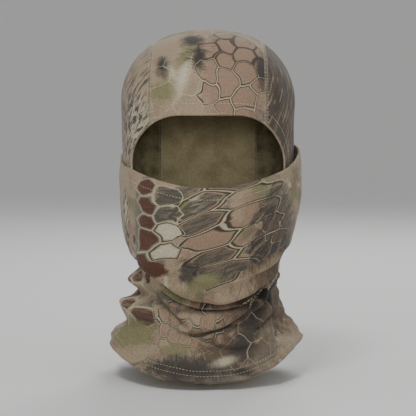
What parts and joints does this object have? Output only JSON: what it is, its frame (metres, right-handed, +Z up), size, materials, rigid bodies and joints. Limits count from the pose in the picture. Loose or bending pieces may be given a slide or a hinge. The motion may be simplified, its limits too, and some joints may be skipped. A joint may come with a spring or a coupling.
{
  "type": "balaclava face mask",
  "caption": "Camouflage balaclava: a stitched cloth hood with an eye opening, a flared neck and a face panel that pulls down below the mouth.",
  "frame": {"origin": "centre of the head cavity, level with the wearer's ears; the wearer's head holds the part there", "axes": "+Z up through the crown, -Y the way the face looks, +X towards the wearer's left"},
  "size_m": [0.176, 0.2014, 0.313],
  "materials": {
    "camo_cloth": "matte knitted cloth printed with a scale-cell camouflage in tan, brown, olive and charcoal",
    "cloth_reverse": "matte olive-brown reverse side of the knitted cloth",
    "thread": "pale khaki overlock and cover-stitch thread, slightly shiny"
  },
  "bodies": {
    "hood": {"crown_panel": "camo_cloth", "side_panel_left": "camo_cloth", "side_panel_right": "camo_cloth", "chin_gather": "camo_cloth", "neck_front": "camo_cloth", "opening_hem": "camo_cloth", "bottom_hem": "camo_cloth", "crown_seam_left": "thread", "crown_seam_right": "thread", "neck_seam_left": "thread", "neck_seam_right": "thread", "jaw_seam_left": "thread", "jaw_seam_right": "thread", "opening_stitch": "thread", "hem_stitch_lower": "thread", "hem_stitch_upper": "thread"},
    "face_panel": {"face_panel": "camo_cloth", "face_panel_hem": "camo_cloth", "face_panel_stitch": "thread"}
  },
  "joints": [
    {"name": "face_panel_pull_down", "type": "slide", "parent": "hood", "child": "face_panel", "axis": [0, 0, -1], "range_m": [0, 0.048], "deforming": ["chin_gather"]}
  ]
}
